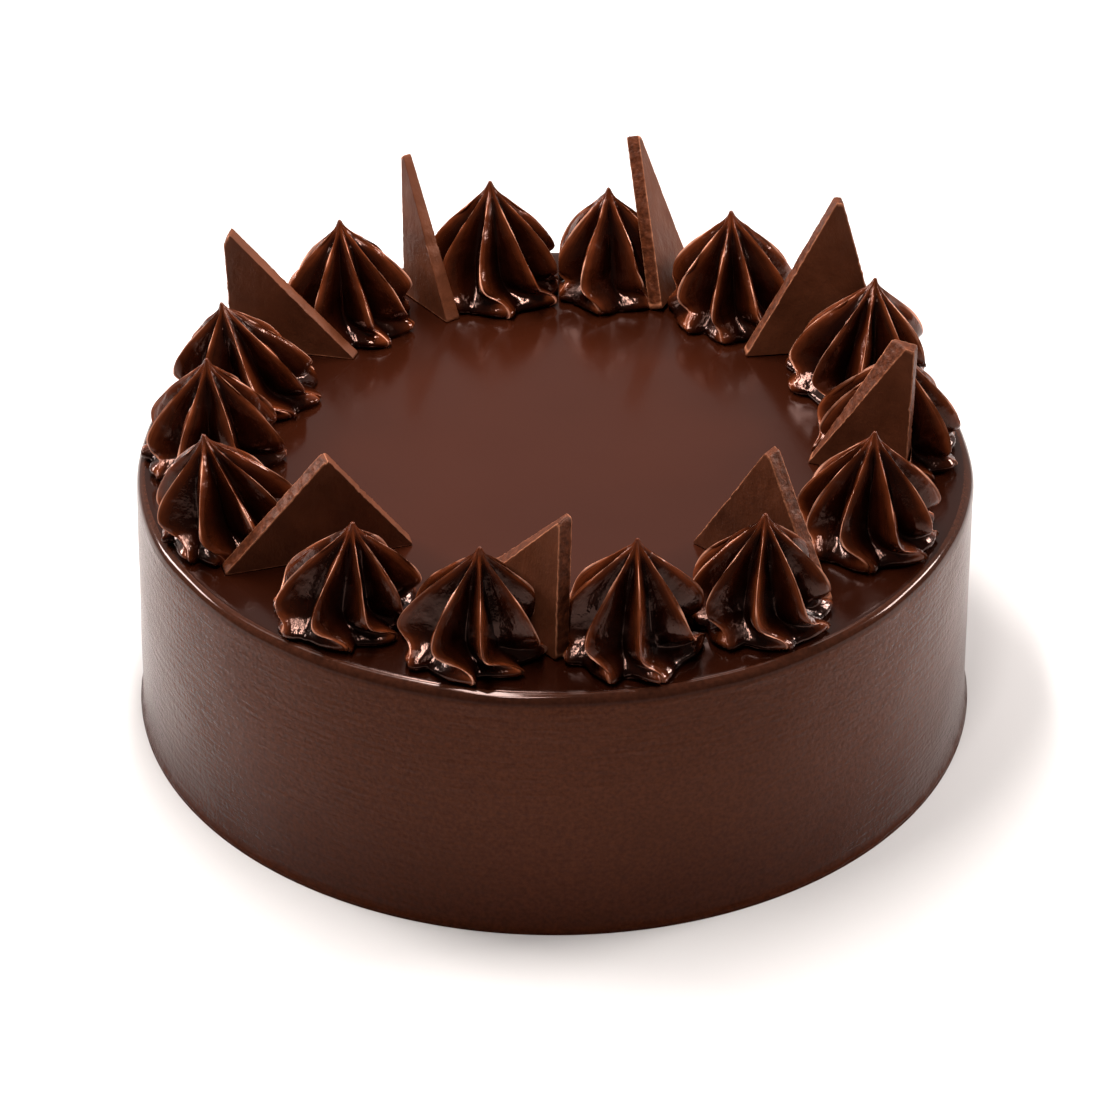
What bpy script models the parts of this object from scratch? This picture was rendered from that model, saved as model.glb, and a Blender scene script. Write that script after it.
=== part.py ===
"""A round chocolate cake: a glazed drum with a ring of piped stars and standing chocolate shards.

Sizes below are in millimetres and are turned into metres only where a mesh is written. The origin is the
middle of the cake's underside, +Z is up, and -Y is the side from which the cake is looked at. Angles are
in degrees, measured from +X towards +Y. A piece that rests on another one, or is pressed against it,
stays GAP clear of it.
"""
import math

import bmesh
import bpy
import numpy as np
from mathutils import Matrix, Vector

MM = 0.001
GAP = 0.3

# The drum: a short cylinder that widens a little towards its foot, with a raised lip round its top.
BASE_RADIUS = 106.0
FOOT_RADIUS = 105.3
RIM_RADIUS = 104.0
LIP_RADIUS = 2.4
TOP_HEIGHT = 67.2
LIP_RISE = 0.1
FOOT_FLARE_HEIGHT = 1.8
FOOT_EDGE_HEIGHT = 0.5
FOOT_EDGE_WIDTH = 0.3
LIP_STEPS = 5
TURN_STEPS = 64

# The poured glaze that fills the top inside the lip.
GLAZE_DEPTH = 1.6
GLAZE_EDGE_RADIUS = 0.9
GLAZE_EDGE_STEPS = 3
RECESS_DEPTH = GLAZE_DEPTH + GAP
RECESS_RADIUS = 101.2

# The piped stars, which stand in a ring: one row for each, clockwise from the one at the back left.
# Each row is the bearing of its tip and the tip's distance from the cake's axis, its height above the
# glaze, the bearing and the distance of the middle of its foot, its size as a share of the usual star,
# its number of ridges, and the bearing of one of them.
STARS = (
    (101.1, 86.9, 31.0, 100.7, 84.5, 1.05, 9, -97.0),
    (80.5, 86.1, 29.2, 79.3, 84.5, 0.92, 9, -105.0),
    (57.5, 85.3, 29.5, 55.9, 84.5, 0.98, 9, -106.0),
    (24.7, 89.1, 29.4, 25.0, 84.5, 1.10, 9, -98.0),
    (2.1, 85.1, 29.1, 2.1, 82.5, 1.08, 8, -22.0),
    (-25.1, 84.1, 29.4, -26.0, 83.0, 1.00, 9, -110.0),
    (-54.2, 85.6, 27.6, -55.3, 84.5, 1.00, 9, -90.0),
    (-77.2, 85.4, 29.8, -77.9, 84.5, 0.98, 8, -88.0),
    (-102.0, 86.2, 28.6, -102.9, 84.5, 0.98, 8, -89.0),
    (-123.6, 85.3, 27.5, -125.6, 84.5, 0.99, 8, -84.0),
    (-157.0, 89.3, 29.1, -156.7, 84.5, 0.97, 8, -100.0),
    (-179.4, 84.4, 28.9, -179.4, 84.4, 0.99, 9, -108.0),
    (160.7, 86.8, 26.0, 158.7, 82.6, 0.97, 9, -110.0),
    (129.8, 86.4, 29.9, 130.0, 84.5, 1.00, 9, -105.0),
)
POINTS_A_RIDGE = 4
# Crest of a ridge as (distance from the star's axis, height as a share of the star's), tip to foot.
CREST = (
    (0.45, 0.985), (1.3, 0.885), (4.2, 0.735), (8.8, 0.590), (13.2, 0.445),
    (16.4, 0.310), (17.6, 0.220), (16.9, 0.160), (17.2, 0.090), (15.2, 0.000),
)
VALLEY_AT_TIP = 0.95
VALLEY_SHARE = 0.54
VALLEY_REACH = 0.35
FOOT_CURL = 19.0
CURL_START = 0.62
CURL_END = 0.84
SIZE_START = 0.1
SIZE_END = 0.5
TIP_RISE = 0.35
RIDGE_JITTER = 3.5
CREST_JITTER = 0.045
SEED = 11

# The shards: flat plates cut to blunt triangles. Each row is the name's number, the distance and the
# bearing of the inner end of its lower edge, the bearing in which that edge runs, the plate's sideways
# lean and its thickness, the lower edge's length, and the two corners of the tip as (place along the
# lower edge, height above it).
SHARD_EDGE = 0.3
SHARDS = (
    (1, 69.5, 136.8, 168.6, 2.5, 3.4, 33.3, (32.2, 34.4), (33.7, 31.6)),
    (2, 70.7, 111.8, 126.8, -1.0, 3.0, 19.8, (20.8, 40.0), (21.9, 39.3)),
    (3, 75.2, 69.2, 66.6, 18.6, 3.8, 21.8, (15.9, 43.0), (17.3, 42.4)),
    (4, 69.2, 45.0, 7.0, 3.2, 3.8, 36.5, (22.9, 42.6), (24.7, 42.2)),
    (5, 63.0, -1.8, -19.0, -2.1, 3.4, 25.6, (19.8, 38.6), (26.3, 38.0)),
    (6, 51.1, -47.9, -42.5, -1.4, 3.8, 41.0, (22.3, 35.7), (23.9, 35.1)),
    (7, 62.9, -113.0, -48.9, 4.7, 3.8, 40.2, (36.3, 36.6), (38.0, 35.9)),
    (8, 51.6, -131.7, -163.5, 5.6, 3.8, 46.8, (20.8, 29.4), (22.2, 28.9)),
)

# A star this much nearer to a shard than its own radius is cut by it, and is first pressed back from the
# cut, less and less past the shard's ends.
PRESS_CLEARANCE = 0.05
PRESS_FADE = 1.5
SHARD_REACH = 4.0

GLAZE_TOP = TOP_HEIGHT
STANDING_HEIGHT = GLAZE_TOP + GAP


def new_collection(name):
    """Make a collection of this name in the scene."""
    collection = bpy.data.collections.new(name)
    bpy.context.scene.collection.children.link(collection)
    return collection


def new_material(name, colour, roughness, coat):
    """Make a plain dielectric finish with the given colour, roughness and clear coat."""
    material = bpy.data.materials.new(name)
    material.use_nodes = True
    shader = material.node_tree.nodes["Principled BSDF"]
    shader.inputs["Base Color"].default_value = (*colour, 1.0)
    shader.inputs["Roughness"].default_value = roughness
    shader.inputs["Metallic"].default_value = 0.0
    shader.inputs["Coat Weight"].default_value = coat
    return material


def arc(centre, radius, start, end, steps):
    """Points along an arc in the profile plane, from the start angle to the end angle in degrees."""
    points = []
    for step in range(steps + 1):
        angle = math.radians(start + (end - start) * step / steps)
        points.append((centre[0] + radius * math.cos(angle), centre[1] + radius * math.sin(angle)))
    return points


def turned(name, profile, collection, material):
    """Turn a profile of (radius, height) points, which runs from the axis down the outside, about Z."""
    mesh = bpy.data.meshes.new(name)
    points = [(radius * MM, 0.0, height * MM) for radius, height in profile]
    edges = [(index, index + 1) for index in range(len(points) - 1)]
    mesh.from_pydata(points, edges, [])
    piece = bpy.data.objects.new(name, mesh)
    collection.objects.link(piece)
    screw = piece.modifiers.new("turn", "SCREW")
    screw.steps = TURN_STEPS
    screw.render_steps = TURN_STEPS
    screw.use_merge_vertices = True
    screw.merge_threshold = 0.00001
    screw.use_smooth_shade = True
    mesh.materials.append(material)
    return piece


def make_drum(collection, material):
    """The cake itself: flat underside, small foot flare, tapered side, round lip and shallow recess."""
    lip_centre = (RIM_RADIUS - LIP_RADIUS, TOP_HEIGHT + LIP_RISE - LIP_RADIUS)
    recess = TOP_HEIGHT - RECESS_DEPTH
    profile = [(0.0, recess), (RECESS_RADIUS, recess), (RECESS_RADIUS, TOP_HEIGHT)]
    profile += arc(lip_centre, LIP_RADIUS, 90.0, 0.0, LIP_STEPS)
    profile += [(FOOT_RADIUS, FOOT_FLARE_HEIGHT), (BASE_RADIUS, FOOT_EDGE_HEIGHT)]
    profile += [(BASE_RADIUS - FOOT_EDGE_WIDTH, 0.0), (0.0, 0.0)]
    return turned("cake_drum", profile, collection, material)


def make_glaze(collection, material):
    """The glaze: a thin disc with a rounded upper edge, lying in the drum's recess."""
    radius = RECESS_RADIUS - GAP
    centre = (radius - GLAZE_EDGE_RADIUS, GLAZE_TOP - GLAZE_EDGE_RADIUS)
    profile = [(0.0, GLAZE_TOP)]
    profile += arc(centre, GLAZE_EDGE_RADIUS, 90.0, 0.0, GLAZE_EDGE_STEPS)
    profile += [(radius, GLAZE_TOP - GLAZE_DEPTH), (0.0, GLAZE_TOP - GLAZE_DEPTH)]
    return turned("top_glaze", profile, collection, material)


def smooth_step(value, low, high):
    """Rise smoothly from 0 at low to 1 at high."""
    share = np.clip((value - low) / (high - low), 0.0, 1.0)
    return share * share * (3.0 - 2.0 * share)


def foot_centre(star):
    """Middle of a star's foot, in plan."""
    bearing, distance = math.radians(star[3]), star[4]
    return np.array([distance * math.cos(bearing), distance * math.sin(bearing)])


def star_rings(star, rng):
    """Rings of points of one piped star, from its tip down to its foot, in millimetres.

    A ring is a closed star outline. The crest of each ridge follows CREST, the valleys run at a share of
    that distance, and both turn sideways near the foot, where the cream curled as it met the glaze.
    """
    tip_bearing, tip_distance, height, _, _, size, ridges, ridge_bearing = star
    tip_angle = math.radians(tip_bearing)
    foot = foot_centre(star)
    tip = np.array([tip_distance * math.cos(tip_angle), tip_distance * math.sin(tip_angle)])
    crest = np.array(CREST)
    along = np.linspace(0.0, 1.0, len(crest))
    valley = VALLEY_AT_TIP + (VALLEY_SHARE - VALLEY_AT_TIP) * smooth_step(along, 0.0, VALLEY_REACH)
    curl = np.radians(FOOT_CURL) * smooth_step(along, CURL_START, CURL_END)
    axis = foot + (tip - foot) * crest[:, 1:2]
    pitch = 2.0 * math.pi / ridges
    ridge_turn = np.radians(rng.uniform(-RIDGE_JITTER, RIDGE_JITTER, ridges))
    ridge_reach = size + rng.uniform(-CREST_JITTER, CREST_JITTER, ridges)
    points = np.empty((len(crest), ridges * POINTS_A_RIDGE, 3))
    for column in range(ridges * POINTS_A_RIDGE):
        ridge, step = divmod(column, POINTS_A_RIDGE)
        across = step / POINTS_A_RIDGE
        from_crest = 1.0 - abs(2.0 * across - 1.0)
        following = (ridge + 1) % ridges
        reach = (1.0 - across) * ridge_reach[ridge] + across * ridge_reach[following]
        turn = (1.0 - across) * ridge_turn[ridge] + across * ridge_turn[following]
        angle = math.radians(ridge_bearing) + (ridge + across) * pitch + turn + curl
        share = 1.0 - (1.0 - valley) * from_crest
        radius = crest[:, 0] * share * (1.0 + (reach - 1.0) * smooth_step(along, SIZE_START, SIZE_END))
        points[:, column, 0] = axis[:, 0] + radius * np.cos(angle)
        points[:, column, 1] = axis[:, 1] + radius * np.sin(angle)
        points[:, column, 2] = STANDING_HEIGHT + (height - GAP) * crest[:, 1]
    return points


def press_on_neighbours(points, star_index):
    """Flatten a star where it would pass the upright plane that it shares with the star on either side.

    The plane divides the way between the two feet by the stars' sizes.
    """
    star = STARS[star_index]
    for other_index in (star_index - 1, (star_index + 1) % len(STARS)):
        other = STARS[other_index]
        way = foot_centre(other) - foot_centre(star)
        distance = np.linalg.norm(way)
        normal = way / distance
        limit = np.dot(foot_centre(star), normal) + distance * star[5] / (star[5] + other[5]) - GAP / 2.0
        beyond = np.maximum(points[..., :2] @ normal - limit, 0.0)
        points[..., :2] -= beyond[..., None] * normal
    return points


def loft(name, rings, collection, material):
    """Close a stack of rings into one solid: a point above the first ring and a flat last ring."""
    ring_count, ring_size, _ = rings.shape
    tip = rings[0].mean(axis=0) + np.array([0.0, 0.0, TIP_RISE])
    vertices = [tuple(tip * MM)] + [tuple(point) for point in (rings.reshape(-1, 3) * MM).tolist()]
    faces = []
    for column in range(ring_size):
        following = (column + 1) % ring_size
        faces.append((0, 1 + column, 1 + following))
        for ring in range(ring_count - 1):
            upper = 1 + ring * ring_size
            lower = upper + ring_size
            faces.append((upper + column, lower + column, lower + following, upper + following))
    last = 1 + (ring_count - 1) * ring_size
    faces.append(tuple(range(last + ring_size - 1, last - 1, -1)))
    mesh = bpy.data.meshes.new(name)
    mesh.from_pydata(vertices, [], faces)
    mesh.validate()
    piece = bpy.data.objects.new(name, mesh)
    collection.objects.link(piece)
    mesh.materials.append(material)
    return piece


def shard_outline(shard, growth):
    """Corners of a shard's blunt triangle, standing on its long edge, grown outwards by the given amount."""
    length, tip_inner, tip_outer = shard[6:]
    corners = [Vector((0.0, 0.0)), Vector((length, 0.0)), Vector(tip_outer), Vector(tip_inner)]
    grown = []
    for index, corner in enumerate(corners):
        before = (corner - corners[index - 1]).normalized()
        after = (corners[(index + 1) % len(corners)] - corner).normalized()
        normal_before = Vector((before.y, -before.x))
        normal_after = Vector((after.y, -after.x))
        bisector = (normal_before + normal_after).normalized()
        grown.append(corner + bisector * growth / bisector.dot(normal_after))
    return grown


def shard_placement(shard):
    """Matrix that carries a plate's own plane (along, up, through) to its place on the glaze."""
    distance, bearing, run, lean, thickness = shard[1:6]
    bearing = math.radians(bearing)
    run = math.radians(run)
    lean = math.radians(lean)
    along = Vector((math.cos(run), math.sin(run), 0.0))
    side = Vector((-math.sin(run), math.cos(run), 0.0))
    up = Vector((0.0, 0.0, 1.0)) * math.cos(lean) + side * math.sin(lean)
    through = along.cross(up)
    foot = Vector((distance * math.cos(bearing), distance * math.sin(bearing), STANDING_HEIGHT))
    foot.z += abs(math.sin(lean)) * thickness / 2.0
    matrix = Matrix((along, up, through)).transposed().to_4x4()
    matrix.translation = foot * MM
    return matrix


def plate(name, shard, growth, collection):
    """A flat plate from a filled outline: the curve is made a mesh, so that it can be cut with."""
    outline = shard_outline(shard, growth)
    curve = bpy.data.curves.new(name, "CURVE")
    curve.dimensions = "2D"
    curve.fill_mode = "BOTH"
    curve.extrude = (shard[5] / 2.0 + growth) * MM
    spline = curve.splines.new("POLY")
    spline.points.add(len(outline) - 1)
    for point, corner in zip(spline.points, outline):
        point.co = (corner.x * MM, corner.y * MM, 0.0, 1.0)
    spline.use_cyclic_u = True
    drawn = bpy.data.objects.new(name + "_outline", curve)
    collection.objects.link(drawn)
    drawn.matrix_world = shard_placement(shard)
    bpy.context.view_layer.update()
    depsgraph = bpy.context.evaluated_depsgraph_get()
    mesh = bpy.data.meshes.new_from_object(drawn.evaluated_get(depsgraph))
    solid = bmesh.new()
    solid.from_mesh(mesh)
    bmesh.ops.remove_doubles(solid, verts=solid.verts, dist=0.000001)
    bmesh.ops.dissolve_limit(solid, angle_limit=0.001, verts=solid.verts, edges=solid.edges)
    bmesh.ops.recalc_face_normals(solid, faces=solid.faces)
    solid.to_mesh(mesh)
    solid.free()
    piece = bpy.data.objects.new(name, mesh)
    piece.matrix_world = drawn.matrix_world
    collection.objects.link(piece)
    bpy.data.objects.remove(drawn)
    return piece


def make_shard(shard, collection, material):
    """One standing shard, its edges slightly broken."""
    piece = plate(f"shard_{shard[0]}", shard, 0.0, collection)
    piece.data.materials.append(material)
    bevel = piece.modifiers.new("broken edge", "BEVEL")
    bevel.width = SHARD_EDGE * MM
    bevel.segments = 1
    return piece


def shard_side(shard, point):
    """Distance of a point on the glaze from the plate's middle plane, and its place along the plate."""
    matrix = shard_placement(shard)
    local = matrix.inverted() @ Vector((point[0] * MM, point[1] * MM, STANDING_HEIGHT * MM))
    return local.z / MM, local.x / MM


def press_on_shard(points, shard, star_centre):
    """Flatten a star against a shard that stands beside it, within the shard's outline only."""
    distance, _ = shard_side(shard, star_centre)
    matrix = np.array(shard_placement(shard))
    local = (points * MM - matrix[:3, 3]) @ matrix[:3, :3] / MM
    side = math.copysign(1.0, distance)
    face = shard[5] / 2.0 + GAP + PRESS_CLEARANCE
    depth = face - local[..., 2] * side
    before_end = smooth_step(local[..., 0], -PRESS_FADE, 0.0)
    before_far_end = smooth_step(-local[..., 0], -shard[6] - PRESS_FADE, -shard[6])
    depth = np.maximum(depth, 0.0) * before_end * before_far_end
    local[..., 2] += depth * side
    return local @ matrix[:3, :3].T + matrix[:3, 3] / MM


def keep_largest_body(piece):
    """Drop what a cut leaves loose, and keep the body with the most points."""
    solid = bmesh.new()
    solid.from_mesh(piece.data)
    unseen = set(solid.verts)
    bodies = []
    while unseen:
        body = set()
        front = [unseen.pop()]
        while front:
            vertex = front.pop()
            body.add(vertex)
            for edge in vertex.link_edges:
                other = edge.other_vert(vertex)
                if other in unseen:
                    unseen.remove(other)
                    front.append(other)
        bodies.append(body)
    bodies.sort(key=len)
    for body in bodies[:-1]:
        bmesh.ops.delete(solid, geom=list(body), context="VERTS")
    solid.to_mesh(piece.data)
    solid.free()


def cut_by(piece, cutter):
    """Take the cutter's volume out of a piece, and apply the cut."""
    cut = piece.modifiers.new("cut", "BOOLEAN")
    cut.operation = "DIFFERENCE"
    cut.solver = "EXACT"
    cut.object = cutter
    bpy.context.view_layer.update()
    depsgraph = bpy.context.evaluated_depsgraph_get()
    mesh = bpy.data.meshes.new_from_object(piece.evaluated_get(depsgraph))
    piece.modifiers.clear()
    piece.data = mesh
    keep_largest_body(piece)


def make_stars(collection, cutters, material):
    """The ring of piped stars, each pressed flat against its neighbours and against nearby shards."""
    rng = np.random.default_rng(SEED)
    reach = max(radius for radius, _ in CREST) + SHARD_REACH
    for index, star in enumerate(STARS):
        centre = foot_centre(star)
        points = press_on_neighbours(star_rings(star, rng), index)
        near = []
        for shard in SHARDS:
            distance, along = shard_side(shard, centre)
            if abs(distance) < reach and -reach < along < shard[6] + reach:
                near.append(shard)
        for shard in near:
            points = press_on_shard(points, shard, centre)
        piece = loft(f"star_{index + 1:02d}", points, collection, material)
        for shard in near:
            cut_by(piece, cutters[shard[0]])


def main():
    """Build the whole cake."""
    for piece in list(bpy.data.objects):
        bpy.data.objects.remove(piece)
    parts = new_collection("chocolate_cake")
    tools = new_collection("cutters")
    coat = new_material("side_coat", (0.035, 0.014, 0.009), 0.38, 0.2)
    glaze = new_material("glaze", (0.025, 0.008, 0.004), 0.12, 0.5)
    cream = new_material("piped_cream", (0.040, 0.014, 0.007), 0.22, 0.3)
    chocolate = new_material("chocolate_shard", (0.060, 0.026, 0.017), 0.42, 0.1)
    make_drum(parts, coat)
    make_glaze(parts, glaze)
    cutters = {}
    for shard in SHARDS:
        make_shard(shard, parts, chocolate)
        cutter = plate(f"cutter_{shard[0]}", shard, GAP, tools)
        cutter.hide_render = True
        cutter.display_type = "WIRE"
        cutters[shard[0]] = cutter
    make_stars(parts, cutters, cream)


main()
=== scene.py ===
"""Looks of a round chocolate cake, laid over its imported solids.

A coated drum, a poured glaze, fourteen piped stars and eight standing shards of chocolate. Sizes are in
millimetres and become metres where a mesh is written. Angles are in degrees from +X towards +Y. The cake's
underside is at z = 0 and its axis is the z axis.
"""
import math

import bpy
import numpy as np
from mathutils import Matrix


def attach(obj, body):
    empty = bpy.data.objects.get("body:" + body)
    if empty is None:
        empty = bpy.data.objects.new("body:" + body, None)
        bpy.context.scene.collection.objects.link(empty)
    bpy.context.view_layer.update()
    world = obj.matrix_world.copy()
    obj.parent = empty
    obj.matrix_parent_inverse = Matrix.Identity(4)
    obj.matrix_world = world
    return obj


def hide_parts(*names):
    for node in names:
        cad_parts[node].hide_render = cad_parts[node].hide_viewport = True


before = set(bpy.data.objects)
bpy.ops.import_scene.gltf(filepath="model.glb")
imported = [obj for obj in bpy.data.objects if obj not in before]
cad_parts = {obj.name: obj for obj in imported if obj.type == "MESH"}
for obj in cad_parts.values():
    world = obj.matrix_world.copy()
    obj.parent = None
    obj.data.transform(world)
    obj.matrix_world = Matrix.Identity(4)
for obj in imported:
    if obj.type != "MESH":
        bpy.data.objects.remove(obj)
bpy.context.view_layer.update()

MM = 0.001

# The drum.
TOP_HEIGHT = 67.2
BASE_RADIUS = 105.9
DRUM_COLUMNS = 480
DRUM_ROWS = 150
# Outline of the drum from the middle of its top, over the shoulder and down the side, as (radius, height).
DRUM_OUTLINE = (
    (60.0, 66.2), (96.0, 66.2), (99.6, 66.5), (100.6, 66.98), (101.3, 67.19), (102.0, 67.12), (102.7, 66.82),
    (103.2, 66.38), (103.58, 65.8), (103.82, 65.05), (103.95, 64.1), (104.02, 61.5), (104.15, 55.0),
    (104.5, 36.0), (104.95, 12.0), (105.15, 4.6), (105.25, 2.4), (105.6, 1.3), (105.86, 0.8), (105.8, 0.25),
    (105.2, 0.0), (80.0, 0.0),
)
# Unevenness of the drum, as the numbers of waves round it, the most turns that their phases make over its
# height, and their depth.
SWELLS = ((2, 3, 5, 8), 0.8, 0.16)
SWIPES = ((11, 17, 23, 31), 3.0, 0.05)
NICKS = ((37, 53, 71, 97), 2.0, 0.10)
BEADS = ((7, 12, 19), 0.5, 0.10)
# Heights and radii between which each sets in: swells and swipes past SIDE, nicks below FOOT and clear of
# the underside, and beads past SHOULDER. The foot is drawn in a little.
SIDE_HEIGHTS = (1.5, 6.0)
SIDE_RADII = (101.0, 103.4)
FOOT_HEIGHTS = (0.6, 5.0)
UNDERSIDE_HEIGHTS = (0.0, 0.6)
SHOULDER_RADII = (102.0, 103.3)
SHOULDER_HEIGHTS = (62.0, 64.5)
FOOT_DRAW = 0.12
# Heights between which the coat turns glossy, and over which its colour is darkened downwards with painted
# shade.
GLOSS_HEIGHTS = (64.0, 65.4)
PAINTED_SHADE_HEIGHTS = (0.0, 42.0)

# The glaze poured over the top. Its edge bends down past the shoulder, and its underside has fewer rows.
GLAZE_RADIUS = 102.5
GLAZE_BEND_RADIUS = 1.9
GLAZE_LIFT = 0.03
GLAZE_SHOULDER = 101.2
GLAZE_COLUMNS = 256
GLAZE_ROWS = 90
GLAZE_WAVES = ((1, 2, 3, 5), 1.5, 0.06)
GLAZE_START = 0.004
# Shares of the radius over which the waves grow from the middle, and over which they die down at the edge.
GLAZE_GROW = (0.0, 0.6)
GLAZE_CALM = (0.80, 0.98)
GLAZE_THICKNESS = 1.4
GLAZE_UNDERCUT = 0.985
GLAZE_UNDER_STEP = 6

# The piped stars, clockwise from the one at the back left: bearing and distance of the tip from the cake's
# axis, the tip's height above the glaze, bearing and distance of the middle of the foot, the star's size
# as a share of the usual one, how far its foot curls, and the bearings of its ridges.
STARS = (
    (101.1, 86.9, 31.0, 100.7, 84.5, 1.04, 18, (-142, -102, -57, -20, 22, 62, 100, 138, 178)),
    (80.5, 86.1, 29.2, 79.3, 84.5, 0.90, 14, (-170, -120, -60, -8, 40, 88, 138)),
    (57.5, 85.3, 29.5, 55.9, 84.5, 1.00, 12, (-155, -110, -71, -25, 20, 62, 105, 155)),
    (24.7, 89.1, 29.4, 25.0, 84.5, 1.04, 20, (-180, -134, -94, -51, -15, 28, 70, 105, 142)),
    (2.1, 85.1, 29.1, 2.1, 82.5, 1.04, 20, (-168, -125, -83, -43, -5, 38, 80, 122, 160)),
    (-25.1, 84.1, 29.4, -26.0, 83.0, 1.00, 21, (-158, -116, -70, -30, 10, 52, 95, 138, 172)),
    (-54.9, 84.8, 28.1, -55.3, 84.5, 1.00, 24, (-177, -140, -97, -53, -12, 28, 70, 110, 148)),
    (-77.2, 85.4, 30.4, -77.9, 84.5, 1.00, 27, (-178, -132, -86, -35, 12, 55, 98, 140)),
    (-101.5, 86.0, 28.7, -102.9, 84.5, 1.00, 26, (-175, -128, -84, -33, 10, 55, 98, 140)),
    (-123.3, 85.0, 26.8, -125.6, 84.5, 1.00, 24, (-162, -116, -75, -34, 12, 55, 100, 148)),
    (-157.3, 90.6, 28.1, -156.7, 84.5, 1.00, 22, (-150, -105, -63, -25, 18, 58, 98, 136, 172)),
    (-179.4, 85.1, 28.7, -179.4, 84.4, 1.00, 16, (-160, -115, -63, -20, 22, 65, 108, 155)),
    (161.0, 88.3, 27.2, 158.7, 82.6, 1.02, 16, (-170, -126, -74, -32, 12, 55, 100, 145)),
    (129.8, 86.4, 29.9, 130.0, 84.5, 1.00, 18, (-162, -115, -67, -28, 12, 52, 95, 140)),
)
USUAL_HEIGHT = 29.0
STAR_ROWS = 120
# Crest of a usual star's ridge from tip to foot, as (distance from the star's axis, height above the glaze,
# share of the sideways curl).
CREST = (
    (0.00, 29.05, 0.0), (0.45, 28.75, 0.0), (0.85, 27.9, 0.0), (1.45, 26.8, 0.0), (2.55, 25.4, 0.0),
    (4.60, 23.3, 0.0), (7.60, 20.6, 0.0), (10.8, 17.6, 0.0), (13.7, 14.4, 0.0), (15.7, 11.4, 0.02),
    (16.8, 8.9, 0.07), (17.0, 7.3, 0.17), (16.6, 6.0, 0.33), (16.1, 4.9, 0.56), (16.0, 4.0, 0.80),
    (16.4, 3.1, 1.00), (16.8, 2.2, 1.10), (16.8, 1.2, 1.12), (16.2, 0.4, 1.10), (15.4, -0.2, 1.05),
)
# Distance of the valleys as a share of the crest's, how far the flanks belly out, and how far the waist
# above the foot may be drawn in or let out, along the same rows.
VALLEY = (
    1.0, 0.96, 0.90, 0.82, 0.73, 0.62, 0.53, 0.48, 0.46, 0.46,
    0.47, 0.50, 0.55, 0.62, 0.70, 0.78, 0.84, 0.87, 0.88, 0.88,
)
BELLY = (
    0.0, 0.0, 0.0, 0.01, 0.02, 0.04, 0.06, 0.075, 0.085, 0.095,
    0.10, 0.10, 0.09, 0.08, 0.08, 0.09, 0.10, 0.09, 0.07, 0.06,
)
WAIST = (
    0.0, 0.0, 0.0, 0.0, 0.0, 0.0, 0.0, 0.0, 0.0, 0.0,
    0.1, 0.4, 0.8, 1.0, 0.9, 0.5, 0.1, 0.0, 0.0, 0.0,
)
VALLEY_CURL = 0.55
# How much the ridges of a star differ from each other: in reach and fullness as shares, in the share of the
# star's curl, in how far the waist is let out at most and drawn in, in height, and in wandering from their
# bearings, in degrees and waves; and how far the valleys differ from VALLEY.
REACH_SPREAD = 0.035
FULLNESS_SPREAD = 0.06
CURL_SHARES = (0.5, 1.4)
WAIST_OUT = 0.5
WAIST_IN = 2.6
LIFT_SPREAD = 0.5
WANDER = 1.6
WANDER_WAVES = (0.5, 1.2)
VALLEY_SHARES = (0.93, 1.05)
# Share of a star's rows, counted from its tip, over which its own size and wandering set in.
BODY_ROWS = (0.12, 0.4)
# The bead along a crest, which sets in as the flank grows wider and rolls out over the rows of the foot; the
# rounding of a valley's bottom, past a share of the flank; and the power that sets the belly's place on it.
BEAD_HEIGHT = 0.42
BEAD_WIDTH = 0.38
BEAD_FLANKS = (0.3, 2.4)
FOOT_ROLL = 1.6
ROLL_ROWS = (0.55, 0.75)
VALLEY_ROUND = 0.6
VALLEY_BOTTOM = 0.8
BELLY_PLACE = 0.8
# The tip is too narrow for crests and valleys, and counts as this near to a crest.
TIP_NEARNESS = 0.86
# Places of a flank's points on the way down from its crest, before the valley at 1.
FLANK_STEPS = (0.0, 0.014, 0.03, 0.048, 0.07, 0.10, 0.15, 0.23, 0.34, 0.47, 0.60, 0.72, 0.83, 0.91, 0.965)
# Radial lumps of a star and folds of its foot, given as the drum's unevenness is, and the rows over which
# they set in.
LUMPS = ((5, 9, 14, 20, 27), 5.0, 0.26)
LUMP_ROWS = (0.08, 0.4)
FOLDS = ((11, 17, 26), 3.0, 0.12)
FOLD_ROWS = (0.6, 0.8)
# Wrinkles square to a star's surface: their depth, and the range of their lengths with the number of waves.
WRINKLE_DEPTH = 0.42
WRINKLES = ((6.0, 12.0), 14)
FINE_DEPTH = 0.09
FINE_WRINKLES = ((2.2, 4.0), 18)
WRINKLE_DRAW = 0.5
WRINKLE_ROWS = (0.10, 0.35)
# Shares of the wrinkles that the foot and the crests lose, and where they lose them.
FOOT_CALM = 0.6
FOOT_CALM_ROWS = (0.6, 0.75)
CREST_CALM = 0.75
CREST_CALM_NEARNESS = (0.88, 0.99)
# A star that is pressed on a neighbour or a shard bends over this softness, and past a shard's ends it is
# let out over PRESS_FADE. SHARD_REACH is how far beyond its widest a star is still tested.
PRESS_SOFTNESS = 0.25
PRESS_FADE = 1.5
SHARD_REACH = 4.0
STREAK_LENGTH = 0.35

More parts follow.
